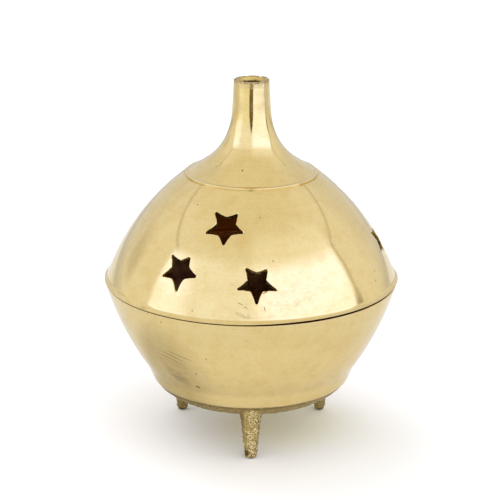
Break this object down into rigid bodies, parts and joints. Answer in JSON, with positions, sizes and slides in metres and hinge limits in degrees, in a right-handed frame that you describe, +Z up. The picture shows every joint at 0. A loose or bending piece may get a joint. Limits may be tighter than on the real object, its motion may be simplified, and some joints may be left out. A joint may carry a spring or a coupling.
{
  "type": "incense burner",
  "caption": "Small turned brass incense burner: bowl on peg feet, lift-off pierced dome lid with a flared chimney, and a loose dish for the cone.",
  "frame": {"origin": "on the vertical axis, in the plane that the three feet stand on", "axes": "+Z up through the chimney, -Y towards the front foot, +X to the right seen from the front"},
  "size_m": [0.076, 0.076, 0.094],
  "materials": {
    "turned_brass": "lathe-turned and polished, pale gold, with fine turning lines",
    "cast_brass": "rough sand-cast skin, greenish brown with bright worn grain",
    "dull_brass": "turned and left unpolished, dulled by heat and smoke"
  },
  "bodies": {
    "base": {"bowl": "turned_brass", "foot_front": "cast_brass", "foot_rear_right": "cast_brass", "foot_rear_left": "cast_brass"},
    "lid": {"lid": "turned_brass", "chimney": "turned_brass"},
    "dish": {"cone_dish": "dull_brass"}
  },
  "joints": [
    {"name": "lid_lift", "type": "slide", "parent": "base", "child": "lid", "axis": [0, 0, 1], "range_m": [0, 0.06]},
    {"name": "dish_lift", "type": "slide", "parent": "base", "child": "dish", "axis": [0, 0, 1], "range_m": [0, 0.034]}
  ]
}
